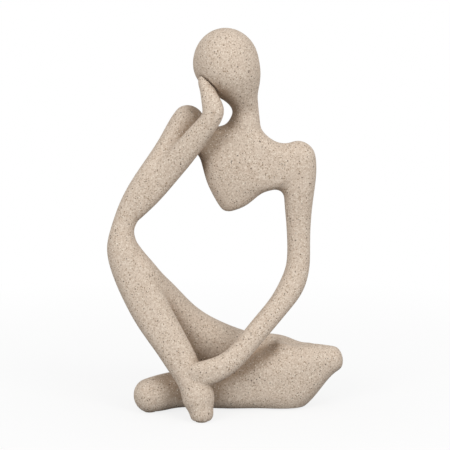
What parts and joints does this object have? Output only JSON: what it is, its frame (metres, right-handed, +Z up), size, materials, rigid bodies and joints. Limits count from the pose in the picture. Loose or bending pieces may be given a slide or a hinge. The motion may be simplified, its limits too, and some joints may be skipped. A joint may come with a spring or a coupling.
{
  "type": "thinker figurine",
  "caption": "Abstract faceless seated figure leaning its head on one hand, a knee raised, with an open window through its middle; a sandstone-effect shelf ornament on rubber pads.",
  "frame": {"origin": "middle of the figure's outline in plan, at the underside of the rubber pads", "axes": "+Z up, +X towards the viewer's right when the figure is seen from the front, +Y away from the viewer"},
  "size_m": [0.162, 0.0868, 0.2602],
  "materials": {
    "cast_stone": "matte beige sandstone-effect resin with fine dark and pale specks",
    "dowel_steel": "plain drawn steel rod, glued inside the joints",
    "pad_rubber": "beige matte rubber, punched from sheet"
  },
  "bodies": {
    "root": {"head": "cast_stone", "torso": "cast_stone", "right_arm": "cast_stone", "left_arm": "cast_stone", "right_leg": "cast_stone", "left_leg": "cast_stone", "neck_dowel": "dowel_steel", "right_shoulder_dowel": "dowel_steel", "left_shoulder_dowel": "dowel_steel", "elbow_dowel": "dowel_steel", "hand_dowel": "dowel_steel", "hip_dowel": "dowel_steel", "thigh_pad": "pad_rubber", "calf_pad": "pad_rubber", "left_foot_pad": "pad_rubber", "right_foot_pad": "pad_rubber"}
  },
  "joints": []
}
